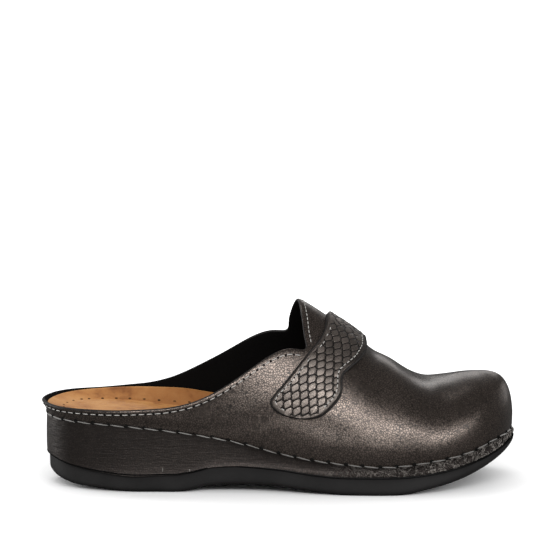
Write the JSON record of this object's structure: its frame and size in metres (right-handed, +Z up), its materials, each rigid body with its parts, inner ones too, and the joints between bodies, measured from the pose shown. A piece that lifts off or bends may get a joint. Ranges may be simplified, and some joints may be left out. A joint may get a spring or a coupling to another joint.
{
  "type": "mule",
  "caption": "Closed-toe leather comfort mule on a low wedge, with a raised instep tab, a shaped strap across it and a cupped footbed.",
  "frame": {"origin": "on the floor, below the centre of the shoe's box", "axes": "+X from heel to toe, +Y to the inner side of the foot, +Z up"},
  "size_m": [0.2638, 0.0962, 0.1025],
  "materials": {
    "upper_leather": "metallic bronze-grey pebbled leather, satin",
    "strap_leather": "metallic bronze-grey leather embossed with scales, satin",
    "wedge_cover": "the same leather stretched over the wedge, finely wrinkled, satin",
    "footbed_leather": "natural tan leather, matt",
    "outsole_rubber": "matt foamed rubber",
    "lining": "black lining leather, matt",
    "thread": "light grey waxed sewing thread"
  },
  "bodies": {
    "root": {"outsole": "outsole_rubber", "wedge": "wedge_cover", "insole": "footbed_leather", "upper": "upper_leather", "strap": "strap_leather"}
  },
  "joints": []
}
